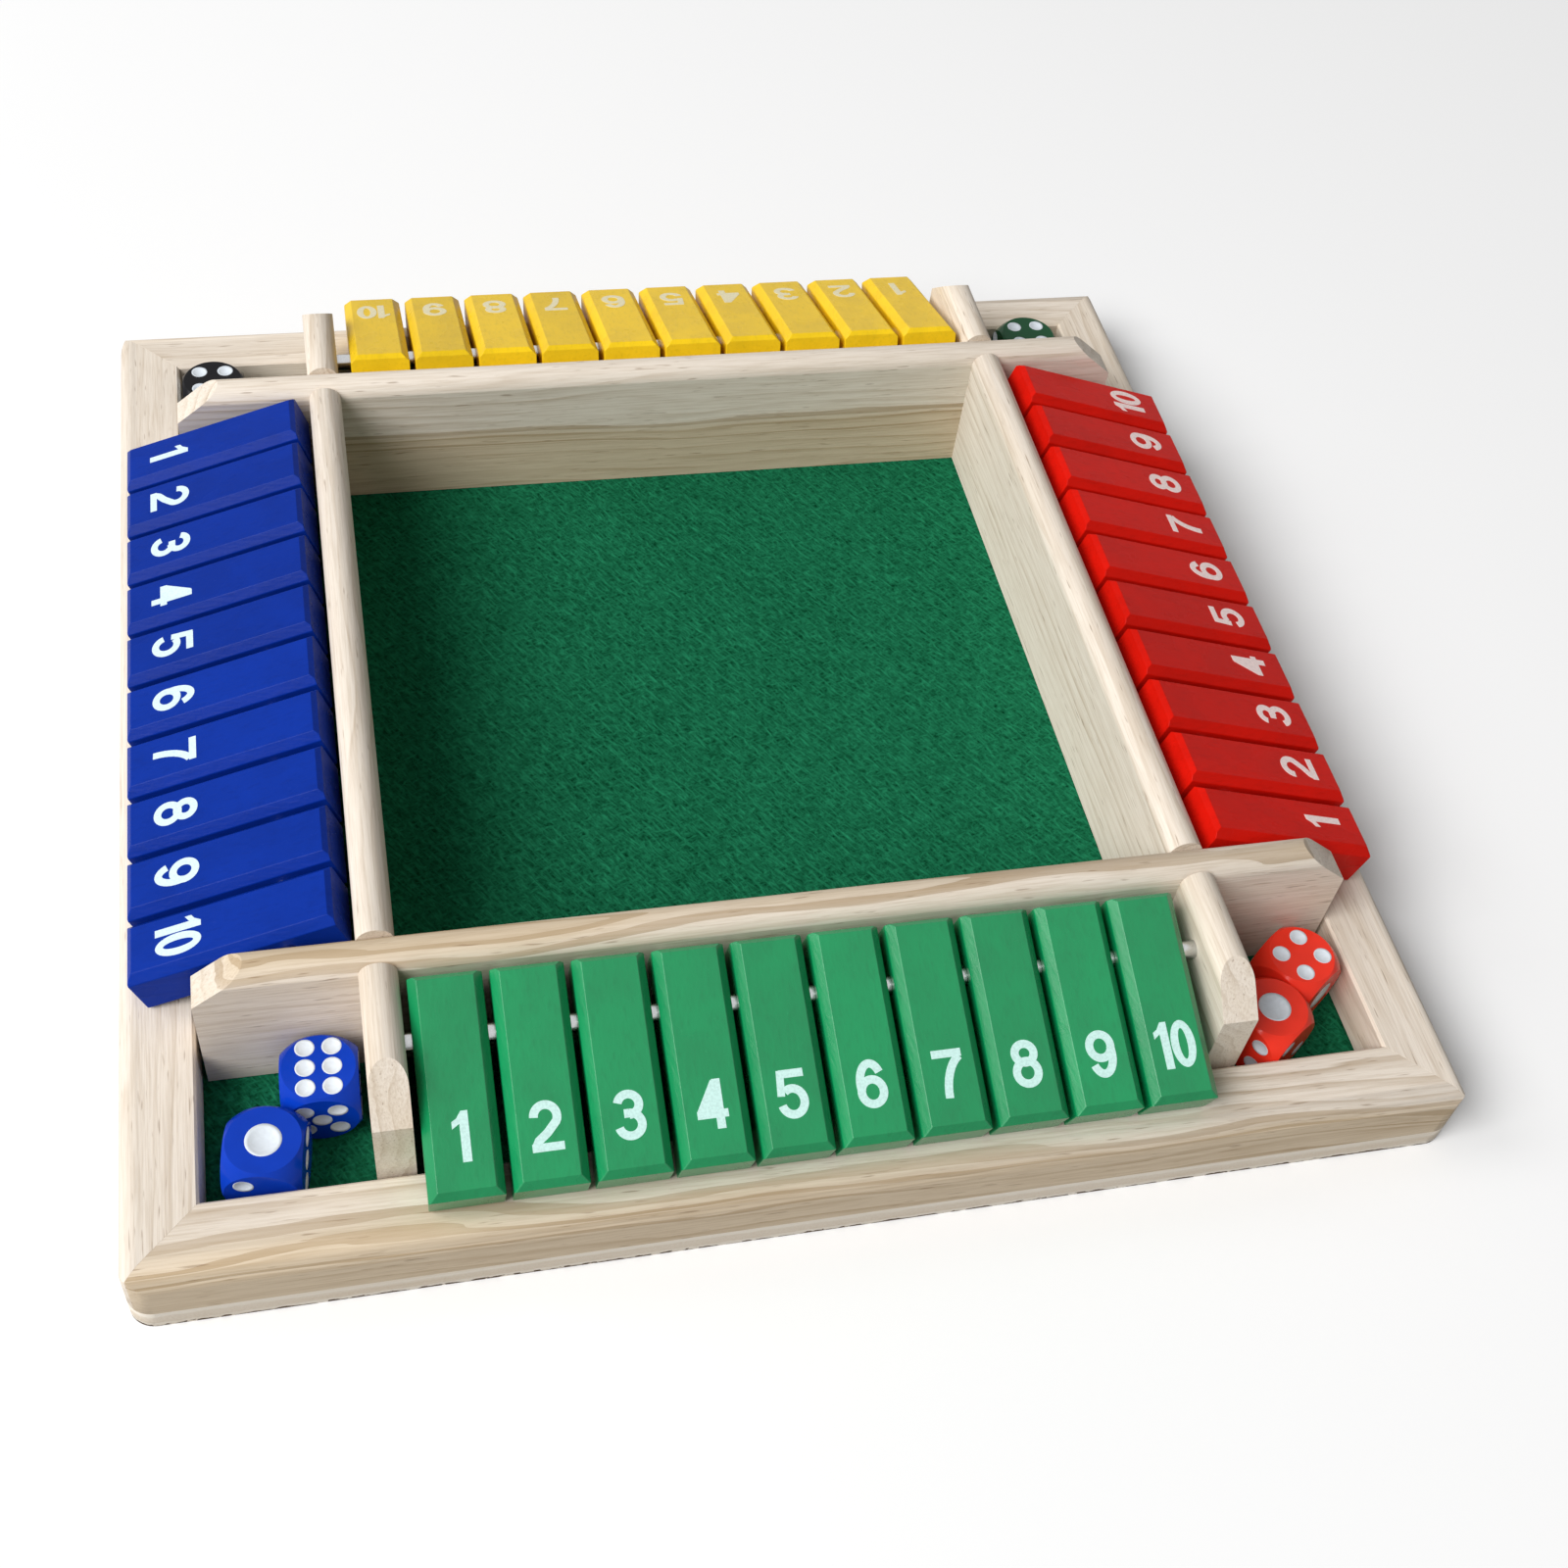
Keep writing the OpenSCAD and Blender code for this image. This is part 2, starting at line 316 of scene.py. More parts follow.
def sanded_plywood():
    """Thin three-ply board, sanded: its edge shows two pale face veneers and a darker open core.

    The foot of the edge is darkened in a ragged line, painted shade where the board meets the
    floor, but the underside is not darkened.
    """
    wood = bpy.context.scene.shut_box.pine
    low, high = (corner.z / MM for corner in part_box("base_board"))
    thickness = high - low
    veneer = 0.28 * thickness
    # How far the plies' boundaries wander up, and how high the painted shade reaches at the edge's
    # foot, millimetres.
    ragged_rise, shaded_height = 1.1, 0.8
    edge_slope = 0.8
    material, tree, shader = new_material(
        "sanded_plywood", roughness=0.7, Specular_IOR_Level=0.15
    )
    place = add_node(tree, "TexCoord").outputs["Object"]
    board = add_node(tree, "VectorMath", {0: place, 1: PER_MM}, operation="MULTIPLY")
    made = {}
    for layer, cell, detail in (
        ("ragged", (2.6, 2.6, 1.0), 3), ("grit", (0.6, 0.6, 0.25), 2),
        ("grain", (45, 2.2, 2.2), 3),
    ):
        stretched = add_node(tree, "VectorMath", {
            0: board, 1: tuple(1 / c for c in cell),
        }, operation="MULTIPLY")
        made[layer] = add_node(tree, "TexNoise", {
            "Vector": stretched, "Scale": 1, "Detail": detail,
        })
    flat_height = add_node(tree, "SeparateXYZ", {0: board}).outputs["Z"]
    height = add_node(tree, "Math", {
        0: made["ragged"], 1: ragged_rise, 2: flat_height,
    }, operation="MULTIPLY_ADD")
    reach = thickness + ragged_rise
    share = add_node(tree, "Math", {0: height, 1: 1 / reach}, operation="MULTIPLY")
    foot = veneer / reach
    core = add_node(tree, "ValToRGB", {"Fac": share}, ramp=(
        (foot + 0.02, 0), (foot + 0.08, 0.55), (1 - foot - 0.1, 0.4), (1 - foot - 0.02, 0),
    ))
    # Painted shade: a ragged dark line along the foot of the edge, where the board meets the floor.
    shaded = add_node(tree, "MapRange", {
        "Value": made["ragged"], "From Min": 0.38, "From Max": 0.62,
        "To Min": shaded_height, "To Max": 0,
    })
    shaded = add_node(tree, "Math", {0: shaded, 1: flat_height}, operation="GREATER_THAN")
    facing = add_node(tree, "SeparateXYZ", {0: add_node(tree, "TexCoord").outputs["Normal"]})
    level = add_node(tree, "Math", {0: facing.outputs["Z"]}, operation="ABSOLUTE")
    edge = add_node(tree, "Math", {0: level, 1: edge_slope}, operation="LESS_THAN")
    shaded = add_node(tree, "Math", {0: shaded, 1: edge}, operation="MULTIPLY")
    core = add_node(tree, "Math", {0: core, 1: made["grit"]}, operation="MULTIPLY")
    grain = add_node(tree, "MapRange", {
        "Value": made["grain"], "From Min": 0.45, "From Max": 0.8, "To Max": 0.4,
    })
    body = wood.ply_face
    for mask, colour in ((grain, wood.tan), (core, wood.ply_core), (shaded, wood.grime)):
        body = add_node(tree, "Mix", {
            MIX_FACTOR: mask, MIX_BELOW: body, MIX_ABOVE: colour,
        }, data_type="RGBA")
    tree.links.new(body.outputs[MIX_RESULT], shader.inputs["Base Color"])
    bump = add_node(tree, "Bump", {"Height": made["grit"], "Distance": 0.12 * MM})
    tree.links.new(bump.outputs[0], shader.inputs["Normal"])
    return material


def wool_felt():
    """Pressed wool felt: no weave, only fibres matted in two slanting lays, matt and mottled.

    A wool fibre is 0.03 mm wide, too fine to show, so strands are drawn about 0.85 mm wide.
    """
    felt = bpy.context.scene.shut_box.felt
    tuft = felt.tuft / MM
    material, tree, shader = new_material("wool_felt", roughness=1.0, Specular_IOR_Level=0.0)
    place = add_node(tree, "TexCoord").outputs["Object"]
    made = {}
    for layer, cell, turn in (
        ("strands", (tuft * 3.6, tuft * 0.85, tuft), 56),
        ("cross", (tuft * 2.2, tuft * 0.8, tuft), -20),
        ("tufts", (tuft, tuft, tuft), 0), ("drift", (24, 24, 24), 0),
    ):
        laid = add_node(tree, "Mapping", {
            "Vector": place, "Scale": PER_MM, "Rotation": (0, 0, math.radians(turn)),
        })
        stretched = add_node(tree, "VectorMath", {
            0: laid, 1: tuple(1 / c for c in cell),
        }, operation="MULTIPLY")
        made[layer] = add_node(tree, "TexNoise", {
            "Vector": stretched, "Scale": 1, "Detail": 2, "Distortion": 0.5,
        })
    crossing = add_node(tree, "Math", {0: made["cross"], 1: -0.04}, operation="ADD")
    hatch = add_node(tree, "Math", {0: made["strands"], 1: crossing}, operation="MAXIMUM")
    pile = add_node(tree, "Math", {0: hatch, 1: 2.8, 2: made["tufts"]}, operation="MULTIPLY_ADD")
    pile = add_node(tree, "Math", {0: made["drift"], 1: 0.3, 2: pile}, operation="MULTIPLY_ADD")
    # Raised pile takes the light colour and its hollows the deep one: the fibres' mottle, with
    # painted highlight and painted shade following the pile's relief.
    light = add_node(tree, "MapRange", {"Value": pile, "From Min": 1.4, "From Max": 3.0})
    body = add_node(tree, "Mix", {
        MIX_FACTOR: light, MIX_BELOW: felt.deep, MIX_ABOVE: felt.light,
    }, data_type="RGBA")
    tree.links.new(body.outputs[MIX_RESULT], shader.inputs["Base Color"])
    bump = add_node(tree, "Bump", {"Height": pile, "Distance": 0.5 * MM, "Strength": 0.5})
    tree.links.new(bump.outputs[0], shader.inputs["Normal"])
    return material


def satin_paint(name, colour, turn, gloss):
    """Sprayed satin paint on pine: level and even, with the grain telegraphing faintly through.

    Turn is the direction of the row, as a tile's grain runs across it. Batch shifts the shade a
    little from tile to tile, and peel is the faint ripple that sprayed paint dries with.
    """
    material, tree, shader = new_material(name, roughness=0.4, Specular_IOR_Level=gloss)
    place = add_node(tree, "TexCoord").outputs["Object"]
    block = add_node(tree, "Mapping", {
        "Vector": place, "Scale": PER_MM, "Rotation": (0, 0, math.radians(-turn - 90)),
    })
    made = {}
    for layer, cell, detail in (
        ("cloud", (14, 9, 9), 3), ("grain", (30, 0.9, 0.9), 3), ("peel", (0.8, 0.8, 0.8), 2),
        ("specks", (1.2, 0.5, 0.5), 1),
    ):
        stretched = add_node(tree, "VectorMath", {
            0: block, 1: tuple(1 / c for c in cell),
        }, operation="MULTIPLY")
        made[layer] = add_node(tree, "TexNoise", {
            "Vector": stretched, "Scale": 1, "Detail": detail,
        })
    batch = add_node(tree, "ObjectInfo").outputs["Random"]
    cloud = add_node(tree, "Math", {0: batch, 1: 0.35, 2: made["cloud"]}, operation="MULTIPLY_ADD")
    cloud = add_node(tree, "MapRange", {"Value": cloud, "From Min": 0.4, "From Max": 0.95})
    thin = add_node(tree, "MapRange", {
        "Value": made["grain"], "From Min": 0.52, "From Max": 0.78, "To Max": 0.4,
    })
    specks = add_node(tree, "MapRange", {
        "Value": made["specks"], "From Min": 0.74, "From Max": 0.8, "To Max": 0.35,
    })
    body = add_node(tree, "Mix", {
        MIX_FACTOR: cloud, MIX_BELOW: tuple(c * 0.9 for c in colour),
        MIX_ABOVE: tuple(min(1, c * 1.12) for c in colour),
    }, data_type="RGBA")
    darker, lighter = tuple(c * 0.7 for c in colour), tuple(min(1, c * 1.3 + 0.02) for c in colour)
    for mask, shade in ((thin, darker), (specks, lighter)):
        body = add_node(tree, "Mix", {
            MIX_FACTOR: mask, MIX_BELOW: body, MIX_ABOVE: shade,
        }, data_type="RGBA")
    tree.links.new(body.outputs[MIX_RESULT], shader.inputs["Base Color"])
    rough = add_node(tree, "MapRange", {"Value": made["cloud"], "To Min": 0.2, "To Max": 0.36})
    tree.links.new(rough.outputs[0], shader.inputs["Roughness"])
    relief = add_node(tree, "Math", {
        0: made["peel"], 1: 0.4, 2: made["grain"],
    }, operation="MULTIPLY_ADD")
    bump = add_node(tree, "Bump", {"Height": relief, "Distance": 0.05 * MM})
    tree.links.new(bump.outputs[0], shader.inputs["Normal"])
    return material


def screen_ink(name, colour):
    """Thin white screen ink: chalky, and tinted by the paint under it.

    The screen's mesh is 0.1 mm, too fine to show, so its marks are drawn 0.5 mm apart.
    """
    material, tree, shader = new_material(name, roughness=0.55, Specular_IOR_Level=0.2)
    place = add_node(tree, "TexCoord").outputs["Object"]
    film = add_node(tree, "VectorMath", {0: place, 1: (1 / (0.5 * MM),) * 3}, operation="MULTIPLY")
    grain = add_node(tree, "TexNoise", {"Vector": film, "Scale": 1, "Detail": 3})
    mesh_marks = add_node(tree, "MapRange", {"Value": grain, "From Min": 0.35, "From Max": 0.6})
    body = add_node(tree, "Mix", {
        MIX_FACTOR: mesh_marks, MIX_BELOW: tuple(c * 0.86 for c in colour), MIX_ABOVE: colour,
    }, data_type="RGBA")
    tree.links.new(body.outputs[MIX_RESULT], shader.inputs["Base Color"])
    bump = add_node(tree, "Bump", {"Height": grain, "Distance": 0.02 * MM})
    tree.links.new(bump.outputs[0], shader.inputs["Normal"])
    return material


def drawn_wire():
    """Drawn steel wire: fine draw marks soften its highlights.

    They are a few hundredths of a millimetre, too fine to show, so they are drawn 0.25 mm.
    """
    material, tree, shader = new_material("drawn_wire", roughness=0.2, Metallic=1.0)
    place = add_node(tree, "TexCoord").outputs["Object"]
    wire = add_node(tree, "VectorMath", {0: place, 1: (1 / (0.25 * MM),) * 3}, operation="MULTIPLY")
    marks = add_node(tree, "TexNoise", {"Vector": wire, "Scale": 1, "Detail": 3})
    body = add_node(tree, "Mix", {
        MIX_FACTOR: marks, MIX_BELOW: srgb("#A9ABAD"), MIX_ABOVE: srgb("#E2E3E4"),
    }, data_type="RGBA")
    tree.links.new(body.outputs[MIX_RESULT], shader.inputs["Base Color"])
    rough = add_node(tree, "MapRange", {"Value": marks, "To Min": 0.12, "To Max": 0.3})
    tree.links.new(rough.outputs[0], shader.inputs["Roughness"])
    return material


def moulded_acrylic(name, colour):
    """Moulded and polished acrylic: deep even colour under a glossy skin.

    Handling scuffs are hair-fine, too fine to show, so they are drawn 0.5 mm wide.
    """
    material, tree, shader = new_material(
        name, roughness=0.16, IOR=1.49, Specular_IOR_Level=0.13
    )
    place = add_node(tree, "TexCoord").outputs["Object"]
    made = {}
    for layer, cell, detail in (("swirl", 6, 2), ("scuffs", 0.5, 4)):
        block = add_node(tree, "VectorMath", {
            0: place, 1: (1 / (cell * MM),) * 3,
        }, operation="MULTIPLY")
        made[layer] = add_node(tree, "TexNoise", {"Vector": block, "Scale": 1, "Detail": detail})
    body = add_node(tree, "Mix", {
        MIX_FACTOR: made["swirl"], MIX_BELOW: tuple(c * 0.86 for c in colour),
        MIX_ABOVE: tuple(min(1, c * 1.12) for c in colour),
    }, data_type="RGBA")
    tree.links.new(body.outputs[MIX_RESULT], shader.inputs["Base Color"])
    rough = add_node(tree, "MapRange", {"Value": made["scuffs"], "To Min": 0.08, "To Max": 0.26})
    tree.links.new(rough.outputs[0], shader.inputs["Roughness"])
    return material


def pip_enamel(colour):
    """Enamel wiped into the drilled pips: thick, white and slightly uneven."""
    material, tree, shader = new_material("pip_enamel", roughness=0.4, Specular_IOR_Level=0.3)
    place = add_node(tree, "TexCoord").outputs["Object"]
    film = add_node(tree, "VectorMath", {0: place, 1: PER_MM}, operation="MULTIPLY")
    patches = add_node(tree, "TexNoise", {"Vector": film, "Scale": 1.1, "Detail": 3})
    body = add_node(tree, "Mix", {
        MIX_FACTOR: patches, MIX_BELOW: tuple(c * 0.8 for c in colour), MIX_ABOVE: colour,
    }, data_type="RGBA")
    tree.links.new(body.outputs[MIX_RESULT], shader.inputs["Base Color"])
    bump = add_node(tree, "Bump", {"Height": patches, "Distance": 0.04 * MM})
    tree.links.new(bump.outputs[0], shader.inputs["Normal"])
    return material


WELD_GAP = 0.001 * MM
SHARP_ANGLE = math.radians(30)


def finish_node(name, material, eased=0.0):
    """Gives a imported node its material, and eases its sharp edges by that much."""
    node = frame["nodes"][name]
    node.data.materials.clear()
    node.data.materials.append(material)
    if eased:
        weld = node.modifiers.new("joined", "WELD")
        weld.merge_threshold = WELD_GAP
        ease = node.modifiers.new("eased", "BEVEL")
        ease.width = eased
        ease.segments = 2
        ease.limit_method = "ANGLE"
        ease.angle_limit = SHARP_ANGLE
        ease.harden_normals = True


def add_piece(name, mesh, material, body):
    """Links a new mesh object, with its material, to the body that it rides on."""
    piece = bpy.data.objects.new(name, mesh)
    mesh.materials.append(material)
    bpy.context.scene.collection.objects.link(piece)
    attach(piece, body)
    return piece


# Cells of the felt's grid along each side.
FELT_CELLS = 150
# How far apart the felt's broad swells and its small puckers lie.
SWELL_SPACING = 9 * MM
PUCKER_SPACING = 2.2 * MM


def felt_sheet(swell):
    """Felt with a gently uneven top that never rises above its flat thickness."""
    low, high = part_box("felt")
    count = FELT_CELLS
    verts, faces = [], []
    for top in (True, False):
        for j in range(count + 1):
            for i in range(count + 1):
                x = low.x + (high.x - low.x) * i / count
                y = low.y + (high.y - low.y) * j / count
                rim = i in (0, count) or j in (0, count)
                broad = noise.noise((x / SWELL_SPACING, y / SWELL_SPACING, 0))
                small = noise.noise((x / PUCKER_SPACING, y / PUCKER_SPACING, 7))
                sink = swell * (0.5 + 0.5 * broad + 0.4 * abs(small))
                if rim:
                    sink = max(sink, 2 * swell)
                verts.append((x, y, high.z - sink if top else low.z))
    layer = (count + 1) ** 2
    for j in range(count):
        for i in range(count):
            a = j * (count + 1) + i
            quad = (a, a + 1, a + count + 2, a + count + 1)
            faces.append(quad)
            faces.append(tuple(layer + v for v in reversed(quad)))
    border = list(range(count))
    border += [i * (count + 1) + count for i in range(count)]
    border += [layer - 1 - i for i in range(count)]
    border += [(count - i) * (count + 1) for i in range(count)]
    for k, a in enumerate(border):
        b = border[(k + 1) % len(border)]
        faces.append((b, a, a + layer, b + layer))
    mesh = bpy.data.meshes.new("felt_lining")
    mesh.from_pydata(verts, [], faces)
    mesh.shade_smooth()
    return mesh


# ---------------------------------------------------------------- numerals

# Largest turn between two points of a curved stroke, degrees.
ARC_STEP = 9.0


def arc(cx, cy, rx, ry, start, end):
    """Points along an ellipse, angles in degrees from +X."""
    count = max(2, round(abs(end - start) / ARC_STEP))
    angles = [math.radians(start + (end - start) * i / count) for i in range(count + 1)]
    return [Vector((cx + rx * math.cos(a), cy + ry * math.sin(a))) for a in angles]


def ribbon(points, width):
    """Quads of a stroke of one width along a line of points."""
    sides = []
    for i, point in enumerate(points):
        along = (points[min(i + 1, len(points) - 1)] - points[max(i - 1, 0)]).normalized()
        across = Vector((-along.y, along.x)) * width / 2
        sides.append((point + across, point - across))
    return [[*side, *reversed(following)] for side, following in zip(sides, sides[1:])]


def ring(cx, cy, rx, ry, width):
    """Quads between two ellipses, half a stroke outside the given one and half a stroke inside."""
    outside, inside = (arc(cx, cy, rx + d, ry + d, 0, 360)[:-1] for d in (width / 2, -width / 2))
    return [
        [outside[i - 1], outside[i], inside[i], inside[i - 1]] for i in range(len(outside))
    ]


def polygon(*corners):
    """One face with those corners."""
    return [[Vector(corner) for corner in corners]]


def numeral_shapes(text, w, h, s):
    """Faces of a numeral w wide and h high, drawn with strokes s wide, its foot at y = 0."""
    e = s / 2
    mid, rx, ry = w / 2, w / 2 - e, h / 2 - e
    if text == "10":
        one, narrow = 0.5 * w, 0.84 * w
        shift = Vector((one + 0.16 * s, 0))
        zero = numeral_shapes("0", narrow, h, s)
        return numeral_shapes("1", one, h, s) + [[v + shift for v in face] for face in zero]
    if text == "0":
        return ring(mid, h / 2, rx, ry, s)
    if text == "1":
        foot = w - s * 1.04
        return polygon(
            (w, 0), (w, h), (w - s * 0.78, h), (w * 0.30, h * 0.86), (0, h * 0.80), (0, h * 0.655),
            (foot, h * 0.75), (foot, 0),
        )
    if text == "2":
        bowl_ry = 0.235 * h
        top = arc(mid, h - e - bowl_ry, rx, bowl_ry, 180, -28)
        tail = [
            Vector((w * 0.52, h * 0.36)), Vector((w * 0.22, s * 1.25)), Vector((e * 0.9, e * 1.1)),
        ]
        return ribbon(top + tail, s) + polygon((0, 0), (w, 0), (w, s * 0.95), (0, s * 0.95))
    if text == "3":
        top_ry, low_ry = 0.205 * h, 0.225 * h
        top = arc(mid, h - e - top_ry, rx * 0.93, top_ry, 168, -90)
        low = arc(mid, e + low_ry, rx, low_ry, 90, -168)
        spur_end, waist = mid - s * 0.6, h * 0.535
        spur = polygon(
            (spur_end, waist - e), (mid, waist - e), (mid, waist + e), (spur_end, waist + e),
        )
        return ribbon(top, s) + ribbon(low, s) + spur
    if text == "4":
        bar = 0.22 * h
        stem = w - s * 1.5
        slope = [Vector((e * 0.95, bar + s * 0.75)), Vector((stem + e * 0.55, h - e * 0.6))]
        return (
            polygon((stem, 0), (stem + s, 0), (stem + s, h), (stem, h))
            + polygon((0, bar), (w, bar), (w, bar + s * 0.95), (0, bar + s * 0.95))
            + ribbon(slope, s * 0.92)
            + polygon((stem - s * 0.45, h), (stem, h), (stem, h - s * 1.3))
        )
    if text == "5":
        bowl_ry = 0.262 * h
        bowl = arc(mid - 0.02 * w, e + bowl_ry, rx * 1.02, bowl_ry, 128, -166)
        side = [Vector((w * 0.19, h * 0.99)), Vector((w * 0.125, h * 0.47))]
        left, right, under = w * 0.14, w * 0.93, h - s * 0.97
        flag = polygon((left, under), (right, under), (right, h), (left, h))
        return flag + ribbon(side, s * 0.9) + ribbon(bowl, s)
    if text == "6":
        bowl_ry = 0.25 * h
        back = arc(mid, h / 2, rx, ry, 200, 32)
        return ring(mid, e + bowl_ry, rx, bowl_ry, s) + ribbon(back, s)
    if text == "7":
        under = h - s * 0.97
        lean = arc(w * 1.24, 0, w * 0.87, h - e, 180, 112)
        corner = polygon(
            (w - s * 1.1, h - s), (w, h - s), (w, h - s * 1.1), (w - s * 0.9, h - s * 1.6),
        )
        return polygon((0, under), (w, under), (w, h), (0, h)) + ribbon(lean, s) + corner
    if text == "8":
        top_ry, low_ry = 0.195 * h, 0.235 * h
        top = ring(mid, h - e - top_ry, rx * 0.88, top_ry, s)
        return top + ring(mid, e + low_ry, rx, low_ry, s)
    if text == "9":
        turned = numeral_shapes("6", w, h, s)
        return [[Vector((w - v.x, h - v.y)) for v in face] for face in turned]
    raise ValueError(f"no numeral for {text}")


# Width of a one as a share of the other numerals' width.
ONE_WIDTH = 0.52
# The triangulation keeps what is inside the strokes, and joins points this near, millimetres.
INSIDE_ONLY = 1
JOIN_WITHIN = 1e-4
# Triangles within this angle of each other become one face.
FLAT_ANGLE = math.radians(1)


def numeral_mesh(text, sizes):
    """Thin slab of ink in the shape of a numeral, centred across the tile."""
    width = sizes.width * (ONE_WIDTH if text == "1" else 1)
    shapes = numeral_shapes(text, width / MM, sizes.height / MM, sizes.stroke / MM)
    points = [v for face in shapes for v in face]
    faces, start = [], 0
    for face in shapes:
        faces.append(list(range(start, start + len(face))))
        start += len(face)
    flat, _, triangles, _, _, covered_by = delaunay_2d_cdt(
        points, [], faces, INSIDE_ONLY, JOIN_WITHIN
    )
    triangles = [face for face, shapes_over in zip(triangles, covered_by) if shapes_over]
    middle = (min(v.x for v in flat) + max(v.x for v in flat)) / 2
    mesh = bpy.data.meshes.new(f"numeral_{text}")
    mesh.from_pydata([((v.x - middle) * MM, v.y * MM, 0) for v in flat], [], triangles)
    shape = bmesh.new()
    shape.from_mesh(mesh)
    bmesh.ops.dissolve_limit(
        shape, angle_limit=FLAT_ANGLE, verts=shape.verts, edges=shape.edges,
        use_dissolve_boundaries=False,
    )
    bmesh.ops.recalc_face_normals(shape, faces=shape.faces)
    lifted = bmesh.ops.extrude_face_region(shape, geom=shape.faces[:])["geom"]
    raised = [part for part in lifted if isinstance(part, bmesh.types.BMVert)]
    bmesh.ops.translate(shape, verts=raised, vec=(0, 0, sizes.ink_depth))
    bmesh.ops.recalc_face_normals(shape, faces=shape.faces)
    shape.to_mesh(mesh)
    shape.free()
    return mesh


def tile_frame(name):
    """Frame of a tile: rod at the origin, X to its player's right, Z out of the numbered face.

    Also gives the height of the numbered face above the rod.
    """
    joint = joint_of[name]
    rod = Vector(joint["pos_m"])
    right = -Vector(joint["axis"])
    mesh = frame["nodes"][name].data
    face = max((p for p in mesh.polygons if p.normal.z > 0.8), key=lambda p: p.area)
    out = face.normal.copy()
    up = out.cross(right)
    place = Matrix((right, up, out)).transposed().to_4x4()
    place.translation = rod
    return place, (face.center - rod).dot(out)


# ---------------------------------------------------------------- pips

# Least depth of a hollow, millimetres.
LEAST_DIMPLE = 0.1
# Least average lean of a hollow's faces towards its middle, metres.
LEAST_LEAN = 1e-9


def islands(mesh):
    """Faces of a mesh, in groups that share vertices."""
    owner = list(range(len(mesh.vertices)))

    def root(i):
        while owner[i] != i:
            owner[i] = owner[owner[i]]
            i = owner[i]
        return i

    for face in mesh.polygons:
        first, *others = face.vertices
        for other in others:
            owner[root(other)] = root(first)
    groups = {}
    for face in mesh.polygons:
        groups.setdefault(root(face.vertices[0]), []).append(face)
    return list(groups.values())


def dimples(mesh):
    """Rim middle, outward direction, rim radius and depth of each hollow in a die."""
    found = []
    for faces in islands(mesh):
        area = sum(f.area for f in faces)
        middle = sum((f.center * f.area for f in faces), Vector()) / area
        out = sum((f.normal * f.area for f in faces), Vector())
        if out.length < 0.5 * area:
            continue
        out.normalize()
        spread = sum((f.center - middle).dot(f.normal - out) * f.area for f in faces)
        if spread > -LEAST_LEAN * area:
            continue
        corners = [mesh.vertices[i].co for f in faces for i in f.vertices]
        rim = max((c - middle).dot(out) for c in corners)
        floor = min((c - middle).dot(out) for c in corners)
        if rim - floor < LEAST_DIMPLE * MM:
            continue
        axis = sum((c for c in corners), Vector()) / len(corners)
        radius = max(((c - axis) - out * (c - axis).dot(out)).length for c in corners)
        found.append((axis + out * (rim - (axis - middle).dot(out)), out, radius, rim - floor))
    return found


def enamel_cap(shape, centre, out, radius, depth, film):
    """Dish of enamel, film thick, lying in a hollow of that radius and depth."""
    segments, rings = 32, 5
    turn = out.to_track_quat("Z", "Y").to_matrix()
    ball = (radius ** 2 + depth ** 2) / (2 * depth)
    angles = [2 * math.pi * k / segments for k in range(segments)]
    rows = []
    for i in range(rings + 1):
        r = radius * i / rings
        drop = ball - math.sqrt(max(ball ** 2 - r ** 2, 0)) - depth + film
        places = [(r * math.cos(a), r * math.sin(a), drop) for a in angles] if i else [(0, 0, drop)]
        rows.append([shape.verts.new(centre + turn @ Vector(place)) for place in places])
    rows.append([shape.verts.new(v.co - out * film * 4) for v in rows[-1]])
    for k in range(segments):
        following = (k + 1) % segments
        shape.faces.new((rows[0][0], rows[1][k], rows[1][following]))
        for inner, outer in zip(rows[1:], rows[2:]):
            shape.faces.new((inner[k], outer[k], outer[following], inner[following]))


# ---------------------------------------------------------------- operators

class SHUTBOX_OT_base(bpy.types.Operator):
    """Finish the plywood base and the felt that lies on it"""

    bl_idname = "shutbox.base"
    bl_label = "Base and Felt"

    def execute(self, context):
        settings = context.scene.shut_box
        finish_node("base_board", sanded_plywood(), settings.pine.sanded_edge)
        lining = felt_sheet(settings.felt.swell)
        felt = add_piece("felt_lining", lining, wool_felt(), "board")
        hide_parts("felt")
        return {"FINISHED"}


class SHUTBOX_OT_frame(bpy.types.Operator):
    """Finish the mitred pine rails, the tray walls and the dividers"""

    bl_idname = "shutbox.frame"
    bl_label = "Rails and Walls"

    # Node, turn of its fibres, pith across and above, seed, rings, warmth, heart, tilt.
    BOARDS = (
        # The front rail's heartwood reaches out to its front face and rounded top edge, so that
        # face is darker tan: partly heartwood in the board, partly painted shade on the face turned
        # from the window.
        ("rail_front", -1.2, (190, 45), 12, 0.6, 0.25, 89.5, -0.6),
        ("rail_right", 90, (180, -60), 2, 0.4, 0.3, 0, 0.5),
        ("rail_back", 0, (-190, 40), 3, 0.4, 0.3, 0, 0.8),
        ("rail_left", 90, (-175, -55), 4, 0.35, 0.1, 0, 0.4),
        ("wall_front", 0, (80, -60), 5, 0.3, 0.35, 11, 0.6),
        ("wall_back", 0, (-100, 20), 6, 0.5, 0.0, 55, 0.4),
        ("wall_left", 90, (110, 30), 7, 0.4, 0.2, 0, 0.5),
        ("wall_right", 90, (60, -140), 8, 0.45, 0.0, 0, 0.3),
        ("dividers", 90, (60, -20), 9, 0.4, 0.25, 0, 0.5),
    )

    def execute(self, context):
        eased = context.scene.shut_box.pine.sanded_edge
        for node, *growth in self.BOARDS:
            wood = sanded_pine(f"sanded_pine_{node}", *growth)
            finish_node(node, wood, eased)
        return {"FINISHED"}


